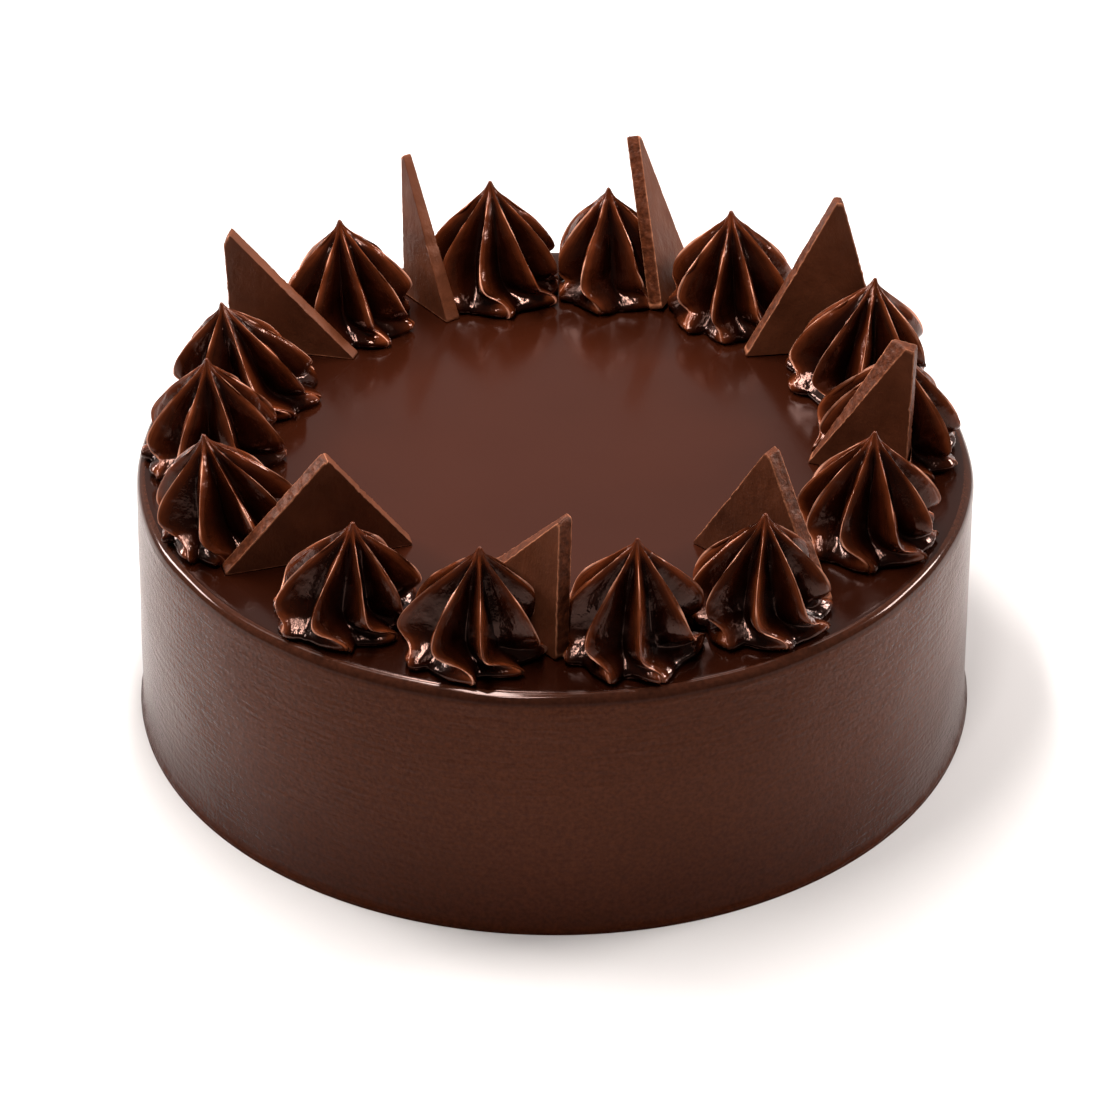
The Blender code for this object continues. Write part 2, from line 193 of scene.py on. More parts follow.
# The shards: number, distance and bearing of the inner end of the lower edge, the bearing in which that
# edge runs, the plate's lean, its thickness at the foot and at the tip, and the corners of its far face and
# of its near face as (place along the lower edge, height above it): inner foot, outer foot, outer tip,
# inner tip. The near face is the one that the cake's front sees.
SHARDS = (
    (1, 69.5, 136.8, 168.6, 2.5, 3.4, 3.4,
     ((0.0, 0.0), (33.3, 0.0), (33.7, 31.6), (32.2, 34.4)),
     ((0.4, 0.0), (33.2, 0.0), (33.6, 31.2), (31.9, 34.2))),
    (2, 70.7, 111.8, 126.8, -1.0, 4.2, 2.4,
     ((0.0, 0.0), (19.8, 0.0), (21.8, 39.3), (20.9, 40.0)),
     ((0.0, 0.0), (19.8, 0.0), (21.8, 39.2), (20.9, 39.9))),
    (3, 75.2, 69.2, 66.6, 18.6, 3.8, 3.6,
     ((0.0, 0.0), (21.8, 0.0), (17.3, 42.4), (16.0, 43.0)),
     ((0.0, 0.0), (21.8, 0.0), (17.1, 42.3), (15.9, 43.0))),
    (4, 69.2, 45.0, 7.0, 3.2, 3.8, 3.6,
     ((0.0, 0.0), (36.5, 0.0), (24.7, 42.2), (22.9, 42.6)),
     ((0.1, 0.0), (36.4, 0.0), (24.7, 42.1), (23.0, 42.5))),
    (5, 63.0, -1.8, -19.0, -2.1, 3.4, 3.4,
     ((0.0, 0.0), (25.6, 0.0), (26.2, 38.0), (19.9, 38.6)),
     ((0.3, 0.0), (25.5, 0.0), (26.2, 37.9), (24.0, 38.4))),
    (6, 51.1, -47.9, -42.5, -1.4, 3.8, 3.8,
     ((0.0, 0.0), (41.0, 0.0), (23.9, 35.1), (22.3, 35.7)),
     ((0.2, 0.0), (40.9, 0.0), (23.9, 35.0), (22.4, 35.5))),
    (7, 62.9, -113.0, -48.9, 4.7, 3.8, 3.8,
     ((0.0, 0.0), (40.2, 0.0), (38.0, 35.9), (36.3, 36.6)),
     ((4.6, 0.0), (40.1, 0.0), (38.0, 35.2), (37.2, 35.5))),
    (8, 51.6, -131.7, -163.5, 5.6, 3.8, 3.8,
     ((0.0, 0.0), (46.8, 0.0), (22.2, 28.9), (20.8, 29.4)),
     ((0.0, 0.0), (46.8, 0.0), (22.2, 28.9), (20.8, 29.4))),
)
# Points along the lower edge, the outer one, the tip and the inner one.
EDGE_STEPS = (60, 44, 10, 60)
# Rings of a face, with the first ring's place, and its border, coloured with a painted highlight: width, the
# most as a share of the way to the middle, and value.
FACE_RINGS = 12
FACE_START = 0.1
BORDER_WIDTH = 0.32
BORDER_SHARE = 0.022
BORDER_VALUE = 0.5
# Rows over the broken edge, how far its corners are drawn in, and how rough it is.
EDGE_ROWS = 7
EDGE_ROUND = 0.13
EDGE_ROUGHNESS = 0.09
SHARD_LIFT = 0.1
TOWARDS_FRONT = (0.0, -1.0, 0.5)
# Chips along an outline: their depth, slow and quick unevenness as waves with no turn and a strength, and
# the heights above the foot between which they set in. The border's painted highlight and the edge's colour
# set in lower.
CHIP_DEPTH = 0.30
SLOW_CHIPS = ((6, 11, 17, 29), 0.0, 0.4)
QUICK_CHIPS = ((41, 57, 73, 83), 0.0, 0.6)
CHIP_HEIGHTS = (0.5, 3.0)
EDGE_AND_HIGHLIGHT_HEIGHTS = (0.4, 2.0)

# The seed, and what is added to it for each kind of piece.
SEED = 11
GLAZE_SEED = 1
STAR_SEED = 20
SHARD_SEED = 60
TAU = 2.0 * math.pi


def smooth_step(value, low, high):
    """Rise smoothly from 0 at low to 1 at high."""
    share = np.clip((value - low) / (high - low), 0.0, 1.0)
    return share * share * (3.0 - 2.0 * share)


def soft_over(value, softness):
    """The positive part of a value, with the corner at zero rounded over the softness."""
    return softness * np.logaddexp(0.0, value / softness)


def curve_through(table, count):
    """Points on a smooth curve through the rows of a table, evenly spaced in the row number.

    Between two rows it is the cubic whose slope at each row is half the step from the row before to the
    row after.
    """
    table = np.asarray(table, float)
    if table.ndim == 1:
        table = table[:, None]
    place = np.linspace(0.0, len(table) - 1.0, count)
    row = np.minimum(place.astype(int), len(table) - 2)
    share = (place - row)[:, None]
    padded = np.vstack([2.0 * table[:1] - table[1:2], table, 2.0 * table[-1:] - table[-2:-1]])
    before, start, end, after = (padded[row + step] for step in range(4))
    bend = 2.0 * before - 5.0 * start + 4.0 * end - after
    twist = 3.0 * (start - end) + after - before
    return 0.5 * (2.0 * start + (end - before) * share + bend * share ** 2 + twist * share ** 3)


def ripples(around, along, rng, counts, rises, strength):
    """A sum of sine waves over a grid.

    Each is sin(count x around + rise x one turn x along + phase), with a random rise and phase, and the sum
    is divided by the square root of their number.
    """
    total = np.zeros(np.broadcast(around, along).shape)
    for count in counts:
        rise = rng.uniform(-rises, rises)
        phase = rng.uniform(0.0, TAU)
        total += np.sin(count * around + rise * along * TAU + phase) / math.sqrt(len(counts))
    return total * strength


def grid_faces(rows, columns):
    """Corner numbers of the four-sided faces of a grid that is closed round its columns."""
    row, column = np.meshgrid(np.arange(rows - 1), np.arange(columns), indexing="ij")
    following = (column + 1) % columns
    upper = row * columns
    lower = upper + columns
    corner_numbers = [upper + column, lower + column, lower + following, upper + following]
    return np.stack(corner_numbers, axis=-1).reshape(-1, 4)


def fan_faces(pole, ring, columns, facing_up):
    """Corner numbers of the triangles between a pole and a ring of a grid."""
    column = np.arange(columns)
    following = (column + 1) % columns
    first, second = (column, following) if facing_up else (following, column)
    return np.stack([np.full(columns, pole), ring + first, ring + second], axis=-1)


def closed_piece(name, grid, material, values=None):
    """Write a grid of points in millimetres, closed at both ends by a pole, as a smooth mesh object.

    The rows run from one pole to the other, and the columns run round, so that row x column faces outwards.
    """
    rows, columns, _ = grid.shape
    poles = np.stack([grid[0].mean(axis=0), grid[-1].mean(axis=0)])
    points = np.vstack([grid.reshape(-1, 3), poles]) * MM
    quads = grid_faces(rows, columns)
    upper = fan_faces(rows * columns, 0, columns, True)
    lower = fan_faces(rows * columns + 1, (rows - 1) * columns, columns, False)
    mesh = bpy.data.meshes.new(name)
    mesh.from_pydata(points, [], quads.tolist() + upper.tolist() + lower.tolist())
    mesh.shade_smooth()
    mesh.materials.append(material)
    for key, table in (values or {}).items():
        ends = np.stack([table[0].mean(axis=0), table[-1].mean(axis=0)])
        flat = np.concatenate([table.reshape((rows * columns,) + ends.shape[1:]), ends])
        kind, field = ("FLOAT", "value") if flat.ndim == 1 else ("FLOAT_VECTOR", "vector")
        mesh.attributes.new(key, kind, "POINT").data.foreach_set(field, flat.astype(np.float32).ravel())
    piece = bpy.data.objects.new(name, mesh)
    bpy.context.scene.collection.objects.link(piece)
    return piece


def place(piece, node, slot):
    """Let a finished piece stand for its solid."""
    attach(piece, "root")
    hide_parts(node)


# Finishes. Colours are in linear light, and a ramp is a row of (place, colour).

WHITE = (1.0, 1.0, 1.0)
# The side coat's colour, what speckles, the shoulder and the foot multiply it by (at the foot a painted
# shade that darkens it downwards), the tint of its reflection, and the thin clear layer at the shoulder.
COAT_CLOUDS = ((0.3, (0.057, 0.0162, 0.0070)), (0.7, (0.065, 0.0188, 0.0082)))
COAT_SPECKLE = ((0.3, (0.74, 0.74, 0.74)), (0.7, (1.26, 1.26, 1.26)))
COAT_AT_SHOULDER = ((0.0, WHITE), (1.0, (0.52, 0.56, 0.66)))
COAT_PAINTED_FOOT_SHADE = ((0.0, WHITE), (1.0, (0.66, 0.55, 0.48)))
COAT_REFLECTION = (1.0, 0.46, 0.33)
LAYER_REFLECTION = (1.0, 0.86, 0.80)
LAYER_WEIGHT = 0.22
LAYER_ROUGHNESS = 0.1
# The glaze's colour, the painted shade that darkens it towards its edge round and under the stars, and the
# tint of its reflection.
GLAZE_CLOUDS = ((0.3, (0.0245, 0.0050, 0.0019)), (0.7, (0.0290, 0.0060, 0.0023)))
GLAZE_PAINTED_SHADE_NEAR_STARS = ((0.50, WHITE), (0.78, (0.40, 0.36, 0.30)))
GLAZE_REFLECTION = (1.0, 0.53, 0.43)
# The cream's colour from the bottom of a valley to a crest, painted shade nearly black in the valleys and
# painted light towards the crests; the thin painted highlight line that shows here and there on the crest;
# and what patches and drawn-out streaks multiply them by.
CREAM_BODY_PAINTED_SHADE = (
    (0.0, (0.0024, 0.0004, 0.0002)), (0.3, (0.0075, 0.0012, 0.0004)), (0.62, (0.0265, 0.0048, 0.0013)),
    (0.86, (0.074, 0.0146, 0.0042)), (0.945, (0.135, 0.0325, 0.0110)),
)
CREAM_PAINTED_HIGHLIGHT_LINE = (0.975, (0.70, 0.32, 0.21))
CREAM_PATCHES = ((0.25, (0.70, 0.70, 0.70)), (0.75, (1.25, 1.25, 1.25)))
CREAM_STREAKS = ((0.3, (0.60, 0.60, 0.60)), (0.7, (1.35, 1.35, 1.35)))
CREAM_REFLECTION = (1.0, 0.56, 0.45)
# The shards' colours: face, the border's painted highlight, and broken edge.
SHARD_FACE = ((0.3, (0.064, 0.0172, 0.0068)), (0.7, (0.106, 0.0295, 0.0120)))
SHARD_PAINTED_BORDER_HIGHLIGHT = ((0.3, (0.190, 0.0560, 0.0240)), (0.7, (0.420, 0.165, 0.0850)))
SHARD_EDGE = ((0.35, (0.038, 0.0085, 0.0028)), (0.65, (0.090, 0.0220, 0.0080)))
SHARD_REFLECTION = (1.0, 0.62, 0.48)


def finish_named(name, roughness, ior, reflection):
    """A new dielectric finish with a tinted reflection: its material, its nodes and its shader."""
    material = bpy.data.materials.new(name)
    material.use_nodes = True
    shader = material.node_tree.nodes["Principled BSDF"]
    shader.inputs["Roughness"].default_value = roughness
    shader.inputs["Coat Roughness"].default_value = LAYER_ROUGHNESS
    shader.inputs["IOR"].default_value = ior
    shader.inputs["Specular Tint"].default_value = (*reflection, 1.0)
    return material, material.node_tree, shader


def noise(tree, scale, detail, stretch=(1.0, 1.0, 1.0), over=None):
    """A noise pattern over the piece's own coordinates or a stored vector, stretched by the factors."""
    if over is None:
        place_on_piece = tree.nodes.new("ShaderNodeTexCoord").outputs["Object"]
    else:
        stored = tree.nodes.new("ShaderNodeAttribute")
        stored.attribute_name = over
        place_on_piece = stored.outputs["Vector"]
    mapping = tree.nodes.new("ShaderNodeMapping")
    mapping.inputs["Scale"].default_value = stretch
    pattern = tree.nodes.new("ShaderNodeTexNoise")
    pattern.inputs["Scale"].default_value = scale
    pattern.inputs["Detail"].default_value = detail
    tree.links.new(place_on_piece, mapping.inputs["Vector"])
    tree.links.new(mapping.outputs["Vector"], pattern.inputs["Vector"])
    return pattern.outputs["Fac"]


def spread(tree, source, low, high, to_low, to_high):
    """Carry a value from one range to another, held at its ends."""
    node = tree.nodes.new("ShaderNodeMapRange")
    node.inputs["From Min"].default_value = low
    node.inputs["From Max"].default_value = high
    node.inputs["To Min"].default_value = to_low
    node.inputs["To Max"].default_value = to_high
    tree.links.new(source, node.inputs["Value"])
    return node.outputs["Result"]


def colours(tree, source, stops):
    """A colour ramp over a value: its stops are (place, colour)."""
    node = tree.nodes.new("ShaderNodeValToRGB")
    ramp = node.color_ramp
    while len(ramp.elements) < len(stops):
        ramp.elements.new(0.5)
    for element, (position, colour) in zip(ramp.elements, stops):
        element.position = position
        element.color = (*colour, 1.0)
    tree.links.new(source, node.inputs["Fac"])
    return node.outputs["Color"]


def feed(tree, socket, value):
    """Give a socket another node's output, or a constant."""
    if isinstance(value, bpy.types.NodeSocket):
        tree.links.new(value, socket)
    else:
        socket.default_value = value


def blended(tree, share, first, second, kind="MIX"):
    """Mix two colours by a share, or combine them in another kind of way."""
    node = tree.nodes.new("ShaderNodeMix")
    node.data_type = "RGBA"
    node.blend_type = kind
    for socket, value in ((node.inputs[0], share), (node.inputs[6], first), (node.inputs[7], second)):
        feed(tree, socket, value)
    return node.outputs[2]


def multiplied(tree, colour, *others):
    """Multiply a colour by others, one after another."""
    for other in others:
        colour = blended(tree, 1.0, colour, other, "MULTIPLY")
    return colour


def bump(tree, shader, layers):
    """Chain height patterns, each as (pattern, depth in metres, strength), into the shader's normal."""
    normal = None
    for height, distance, strength in layers:
        node = tree.nodes.new("ShaderNodeBump")
        feed(tree, node.inputs["Strength"], strength)
        node.inputs["Distance"].default_value = distance
        tree.links.new(height, node.inputs["Height"])
        if normal is not None:
            tree.links.new(normal, node.inputs["Normal"])
        normal = node.outputs["Normal"]
    tree.links.new(normal, shader.inputs["Normal"])


def attribute(tree, name):
    """A value stored on the piece's points."""
    node = tree.nodes.new("ShaderNodeAttribute")
    node.attribute_name = name
    return node.outputs["Fac"]


def make_coat():
    """Satin chocolate coat of the drum: deeper and glossier at the shoulder, and darkened towards the foot
    with painted shade.
    """
    material, tree, shader = finish_named(
        "side_coat", roughness=0.24, ior=1.23, reflection=COAT_REFLECTION)
    gloss = attribute(tree, "gloss")
    shader.inputs["Coat Tint"].default_value = (*LAYER_REFLECTION, 1.0)
    feed(tree, shader.inputs["Coat Weight"], spread(tree, gloss, 0.5, 1.0, 0.0, LAYER_WEIGHT))
    cloudy = colours(tree, noise(tree, 22.0, 3.0), COAT_CLOUDS)
    at_shoulder = colours(tree, gloss, COAT_AT_SHOULDER)
    # painted shade: the coat's colour is darkened towards the foot
    painted_foot_shade = colours(tree, attribute(tree, "low"), COAT_PAINTED_FOOT_SHADE)
    speckle = colours(tree, noise(tree, 1000.0, 3.0), COAT_SPECKLE)
    feed(tree, shader.inputs["Base Color"], multiplied(tree, cloudy, at_shoulder, painted_foot_shade, speckle))
    feed(tree, shader.inputs["Roughness"], spread(tree, gloss, 0.0, 1.0, 0.24, 0.13))
    streaks = noise(tree, 90.0, 4.0, (1.0, 1.0, 9.0))
    grain = noise(tree, 800.0, 3.0)
    calm = spread(tree, gloss, 0.0, 1.0, 0.45, 0.04)
    bump(tree, shader, ((streaks, 0.0005, calm), (grain, 0.00038, calm)))
    return material


def make_glaze_finish():
    """Glossy poured glaze, darkened with painted shade towards its edge, where the stars stand."""
    material, tree, shader = finish_named(
        "poured_glaze", roughness=0.16, ior=1.39, reflection=GLAZE_REFLECTION)
    cloudy = colours(tree, noise(tree, 14.0, 3.0), GLAZE_CLOUDS)
    # painted shade: the glaze is darkened past half its radius, where the stars shade it
    painted_star_shade = colours(tree, attribute(tree, "out"), GLAZE_PAINTED_SHADE_NEAR_STARS)
    feed(tree, shader.inputs["Base Color"], multiplied(tree, cloudy, painted_star_shade))
    feed(tree, shader.inputs["Roughness"], spread(tree, noise(tree, 40.0, 3.0), 0.3, 0.7, 0.13, 0.20))
    waves = noise(tree, 25.0, 2.0)
    grain = noise(tree, 900.0, 2.0)
    bump(tree, shader, ((waves, 0.0008, 0.15), (grain, 0.00004, 0.4)))
    return material


def make_cream():
    """Piped chocolate cream: warm with painted light and a thin painted highlight line on the crests, and
    darkened nearly black in the valleys with painted shade.
    """
    material, tree, shader = finish_named(
        "piped_cream", roughness=0.12, ior=1.45, reflection=CREAM_REFLECTION)
    crest = attribute(tree, "crest")
    # painted shade in the valleys and painted light on the crests
    plain = colours(tree, crest, CREAM_BODY_PAINTED_SHADE)
    # the same with a painted highlight line along the crests, shown in patches
    with_painted_highlight = colours(tree, crest, CREAM_BODY_PAINTED_SHADE + (CREAM_PAINTED_HIGHLIGHT_LINE,))
    where_highlight_painted = spread(tree, noise(tree, 110.0, 2.0), 0.40, 0.60, 0.0, 1.0)
    tint = blended(tree, where_highlight_painted, plain, with_painted_highlight)
    patchy = colours(tree, noise(tree, 120.0, 3.0), CREAM_PATCHES)
    streaky = colours(tree, noise(tree, 14.0, 3.0, over="stroke"), CREAM_STREAKS)
    feed(tree, shader.inputs["Base Color"], multiplied(tree, tint, patchy, streaky))
    feed(tree, shader.inputs["Roughness"], spread(tree, noise(tree, 260.0, 3.0), 0.3, 0.7, 0.05, 0.24))
    dimples = noise(tree, 130.0, 2.0)
    streaks = noise(tree, 16.0, 2.0, over="stroke")
    mottle = noise(tree, 420.0, 3.0)
    bump(tree, shader, ((dimples, 0.0012, 0.24), (streaks, 0.0009, 0.22), (mottle, 0.0006, 0.38)))
    return material


def make_shard_finish():
    """Dull, faintly dusty chocolate, darker and rugged on the broken edge, with a pale painted highlight
    along the border.
    """
    material, tree, shader = finish_named(
        "shard_chocolate", roughness=0.52, ior=1.34, reflection=SHARD_REFLECTION)
    edge = attribute(tree, "edge")
    face = colours(tree, noise(tree, 90.0, 4.0), SHARD_FACE)
    # painted highlight: the pale line along each face's border
    border = colours(tree, noise(tree, 500.0, 4.0), SHARD_PAINTED_BORDER_HIGHLIGHT)
    broken = colours(tree, noise(tree, 700.0, 4.0), SHARD_EDGE)
    border_highlight_to_edge = blended(tree, spread(tree, edge, 0.5, 0.8, 0.0, 1.0), border, broken)
    tint = blended(tree, spread(tree, edge, 0.0, 0.5, 0.0, 1.0), face, border_highlight_to_edge)
    feed(tree, shader.inputs["Base Color"], tint)
    feed(tree, shader.inputs["Roughness"], spread(tree, noise(tree, 150.0, 3.0), 0.3, 0.7, 0.46, 0.60))
    smear = noise(tree, 240.0, 5.0, (1.0, 1.0, 0.5))
    crags = noise(tree, 450.0, 3.0)
    rugged = spread(tree, edge, 0.0, 0.6, 0.10, 0.85)
    grain = noise(tree, 1600.0, 3.0)
    bump(tree, shader, ((smear, 0.0008, 0.5), (crags, 0.0008, rugged), (grain, 0.00014, 0.5)))
    return material


# The drum and its glaze.


def make_drum(material):
    """The drum: its outline turned about the axis, uneven round the side, the foot and the shoulder.

    A point is at (radius + waves) x (cos, sin) of its bearing. The waves fade to nothing on the top and the
    underside, so that the drum keeps its size. The coat's finish reads two values: how near a point is to
    the shoulder's gloss, and how low it is, which sets the painted shade towards the foot.
    """
    rng = np.random.default_rng(SEED)
    outline = np.maximum(curve_through(DRUM_OUTLINE, DRUM_ROWS), 0.0)
    bearing = np.linspace(0.0, TAU, DRUM_COLUMNS, endpoint=False)[None, :]
    radius = outline[:, :1]
    height = outline[:, 1:]
    along = height / TOP_HEIGHT
    side = smooth_step(height, *SIDE_HEIGHTS) * smooth_step(radius, *SIDE_RADII)
    foot = 1.0 - smooth_step(height, *FOOT_HEIGHTS)
    swells = ripples(bearing, along, rng, *SWELLS) - SWELLS[-1]
    swipes = ripples(bearing, along, rng, *SWIPES)
    nicks = ripples(bearing, along, rng, *NICKS) * foot * smooth_step(height, *UNDERSIDE_HEIGHTS)
    radius = radius + (swells + swipes) * side + nicks - FOOT_DRAW * foot
    shoulder = smooth_step(radius, *SHOULDER_RADII) * smooth_step(height, *SHOULDER_HEIGHTS)
    beads = ripples(bearing, along, rng, *BEADS) * shoulder
    radius = np.minimum(radius + beads, BASE_RADIUS)
    height = np.broadcast_to(height, radius.shape)
    grid = np.stack([radius * np.cos(bearing), radius * np.sin(bearing), height], axis=-1)
    # low sets the painted shade that darkens the coat towards the foot
    values = {"gloss": smooth_step(height, *GLOSS_HEIGHTS), "low": 1.0 - smooth_step(height, *PAINTED_SHADE_HEIGHTS)}
    piece = closed_piece("drum_coat", grid, material, values)
    place(piece, "cake_drum", "side_coat")


def make_glaze(material):
    """The glaze: a shallow lens whose top undulates a little and whose edge dips behind the shoulder.

    The rows run from the middle out over the top, and back below to the middle, which is flat. A point of
    the top is at (radius x cos, radius x sin, top height + wave - drop), and past GLAZE_SHOULDER the drop
    follows a circle of GLAZE_BEND_RADIUS.
    """
    rng = np.random.default_rng(SEED + GLAZE_SEED)
    out = np.linspace(GLAZE_START, 1.0, GLAZE_ROWS)[:, None]
    bearing = np.linspace(0.0, TAU, GLAZE_COLUMNS, endpoint=False)[None, :]
    radius = GLAZE_RADIUS * out
    settle = smooth_step(-out, -GLAZE_CALM[1], -GLAZE_CALM[0])
    wave = ripples(bearing, out, rng, *GLAZE_WAVES) * settle * smooth_step(out, *GLAZE_GROW)
    past = np.maximum(radius - GLAZE_SHOULDER, 0.0)
    drop = GLAZE_BEND_RADIUS - np.sqrt(GLAZE_BEND_RADIUS ** 2 - past ** 2) - GLAZE_LIFT
    top = np.stack([radius * np.cos(bearing), radius * np.sin(bearing), TOP_HEIGHT + wave - drop], axis=-1)
    under = top[::-GLAZE_UNDER_STEP].copy()
    under[..., 2] = TOP_HEIGHT - GLAZE_THICKNESS
    under[..., :2] *= GLAZE_UNDERCUT
    grid = np.concatenate([top, under])
    # out sets the glaze's painted shade near the stars
    values = {"out": np.linalg.norm(grid[..., :2], axis=-1) / GLAZE_RADIUS}
    piece = closed_piece("glaze_pour", grid, material, values)
    place(piece, "top_glaze", "glaze")


# The piped stars.


def plan_point(bearing, distance):
    """A point in plan from its bearing and its distance from the axis."""
    angle = math.radians(bearing)
    return np.array([distance * math.cos(angle), distance * math.sin(angle)])


def ridge_lines(star, rng):
    """Crest and valley lines of a star: arrays of (row, ridge) for distance, height and bearing.

    Each ridge follows CREST with its own reach, fullness, waist, lift and curl. A valley lies midway between
    two ridges, at VALLEY's share of their mean distance, and curls less.
    """
    size, curl, bearings = star[5:]
    bearings = np.radians(np.array(bearings, float))
    count = len(bearings)
    crest = curve_through(CREST, STAR_ROWS)
    share = curve_through(VALLEY, STAR_ROWS)
    along = np.linspace(0.0, 1.0, STAR_ROWS)[:, None]
    reach = size + rng.uniform(-REACH_SPREAD, REACH_SPREAD, count)
    full = rng.uniform(-FULLNESS_SPREAD, FULLNESS_SPREAD, count)
    turn = np.radians(curl) * rng.uniform(*CURL_SHARES, count)
    waist = WAIST_OUT - WAIST_IN * rng.random(count) ** 2
    lift = rng.uniform(-LIFT_SPREAD, LIFT_SPREAD, count)
    waves = rng.uniform(*WANDER_WAVES, count)
    wander = np.radians(WANDER) * np.sin(along * TAU * waves + rng.uniform(0.0, TAU, count))
    body = smooth_step(along, *BODY_ROWS)
    radius = crest[:, :1] * (1.0 + (reach - 1.0) * body) * (1.0 + full * np.sin(np.pi * along) * body)
    radius += curve_through(WAIST, STAR_ROWS) * waist
    height = crest[:, 1:2] * star[2] / USUAL_HEIGHT + lift * np.sin(np.pi * along) ** 2
    angle = bearings + turn * crest[:, 2:] + wander * body
    following = np.roll(bearings, -1)
    following[-1] += TAU
    middle = (bearings + following) / 2.0
    mean_turn = (turn + np.roll(turn, -1)) / 2.0 * VALLEY_CURL
    valley_angle = middle + mean_turn * crest[:, 2:] + wander * body / 2.0
    valley_share = share * rng.uniform(*VALLEY_SHARES, count)
    valley_radius = (radius + np.roll(radius, -1, axis=1)) / 2.0 * valley_share
    valley_height = (height + np.roll(height, -1, axis=1)) / 2.0
    return (radius, height, angle), (valley_radius, valley_height, valley_angle)


def corners(line, shift=0):
    """Turn (distance, height, bearing) lines into points, with the ridges rolled by the shift."""
    radius, height, angle = (np.roll(part, shift, axis=1) for part in line)
    return np.stack([radius * np.cos(angle), radius * np.sin(angle), height], axis=-1)


def away_from_axis(points):
    """Level unit steps from the z axis to each point."""
    plan = points[..., :2]
    return plan / np.maximum(np.linalg.norm(plan, axis=-1, keepdims=True), 1e-6)


def star_points(star, rng):
    """Points of a star before it is pressed, and how near each is to a crest.

    Between a crest and the next valley a point is on the straight line from one to the other, moved out of
    that line by the belly. A narrow bead is raised along the crest, and the valley's bottom is rounded.
    """
    ridge, valley = ridge_lines(star, rng)
    crest = corners(ridge)[:, :, None, :]
    hollow = corners(valley)[:, :, None, :]
    next_crest = corners(ridge, -1)[:, :, None, :]
    step = np.array(FLANK_STEPS)
    down = step[None, None, :, None]
    leaving = crest * (1.0 - down) + hollow * down
    rising = (next_crest * (1.0 - down) + hollow * down)[:, :, ::-1]
    points = np.concatenate([leaving, hollow, rising[:, :, :-1]], axis=2)
    depth = np.concatenate([step, [1.0], step[::-1][:-1]])
    rows = len(points)
    reach = ridge[0][:, :, None]
    flank = np.linalg.norm(crest - hollow, axis=-1)
    bulge = np.sin(np.pi * depth ** BELLY_PLACE)[None, None, :]
    belly = curve_through(BELLY, STAR_ROWS)[:, :, None] * bulge * reach
    grown = smooth_step(flank, *BEAD_FLANKS)
    rolled = 1.0 + FOOT_ROLL * smooth_step(np.linspace(0.0, 1.0, rows), *ROLL_ROWS)[:, None, None]
    bead = BEAD_HEIGHT * grown * np.exp(-(depth * flank / (BEAD_WIDTH * rolled)) ** 2)
    bottom = np.clip((depth - VALLEY_BOTTOM) / (1.0 - VALLEY_BOTTOM), 0.0, 1.0)
    rounding = VALLEY_ROUND * grown * bottom ** 2
    points[..., :2] += away_from_axis(points) * (belly + bead + rounding)[..., None]
    nearness = (1.0 - depth) * grown + TIP_NEARNESS * (1.0 - grown)
    return points.reshape(rows, -1, 3), nearness.reshape(rows, -1)


def wrinkles(points, rng, lengths, count):
    """A field of sine waves through space, drawn out upwards: its value at each point, about -1 to 1."""
    total = np.zeros(points.shape[:2])
    for _ in range(count):
        way = rng.normal(size=3)
        way *= TAU / (rng.uniform(*lengths) * np.linalg.norm(way))
        way[2] *= WRINKLE_DRAW
        total += np.sin(points @ way + rng.uniform(0.0, TAU))
    return total / math.sqrt(2.0 * count)


def outward(points):
    """Unit normals of a grid that is closed round its columns, from the differences between its points."""
    down = np.gradient(points, axis=0)
    across = (np.roll(points, -1, axis=1) - np.roll(points, 1, axis=1)) / 2.0
    normal = np.cross(down, across)
    return normal / np.maximum(np.linalg.norm(normal, axis=-1, keepdims=True), 1e-9)


def roughen(points, nearness, rng):
    """Roughen a star: radial lumps and folds of the foot, then wrinkles square to its surface.

    All of them fade out towards the tip, and the wrinkles are less along the crests and at the foot.
    """
    rows, columns, _ = points.shape
    around = np.linspace(0.0, TAU, columns, endpoint=False)[None, :]
    along = np.linspace(0.0, 1.0, rows)[:, None]
    lumps = ripples(around, along, rng, *LUMPS)
    folds = ripples(around, along, rng, *FOLDS) * smooth_step(along, *FOLD_ROWS)
    shift = (lumps + folds) * smooth_step(along, *LUMP_ROWS)
    points[..., :2] += away_from_axis(points) * shift[..., None]
    depth = WRINKLE_DEPTH * wrinkles(points, rng, *WRINKLES)
    depth += FINE_DEPTH * wrinkles(points, rng, *FINE_WRINKLES)
    depth *= smooth_step(along, *WRINKLE_ROWS) * (1.0 - FOOT_CALM * smooth_step(along, *FOOT_CALM_ROWS))
    depth *= 1.0 - CREST_CALM * smooth_step(nearness, *CREST_CALM_NEARNESS)
    return points + outward(points) * depth[..., None]


def stand_up(star, points):
    """Carry a star from its own axis, which leans from its foot to its tip, to its place on the cake."""
    foot = plan_point(star[3], star[4])
    tip = plan_point(star[0], star[1])
    rise = np.clip(points[..., 2:] / star[2], 0.0, 1.0)
    points[..., :2] += foot + (tip - foot) * rise
    points[..., 2] += TOP_HEIGHT
    return points


def press_on_neighbours(points, index):
    """Hold a star back from the upright plane that divides its foot from each neighbour's."""
    star = STARS[index]
    foot = plan_point(star[3], star[4])
    for other in (STARS[index - 1], STARS[(index + 1) % len(STARS)]):
        way = plan_point(other[3], other[4]) - foot
        distance = np.linalg.norm(way)
        normal = way / distance
        limit = foot @ normal + distance * star[5] / (star[5] + other[5])
        beyond = soft_over(points[..., :2] @ normal - limit, PRESS_SOFTNESS)
        points[..., :2] -= beyond[..., None] * normal
    return points


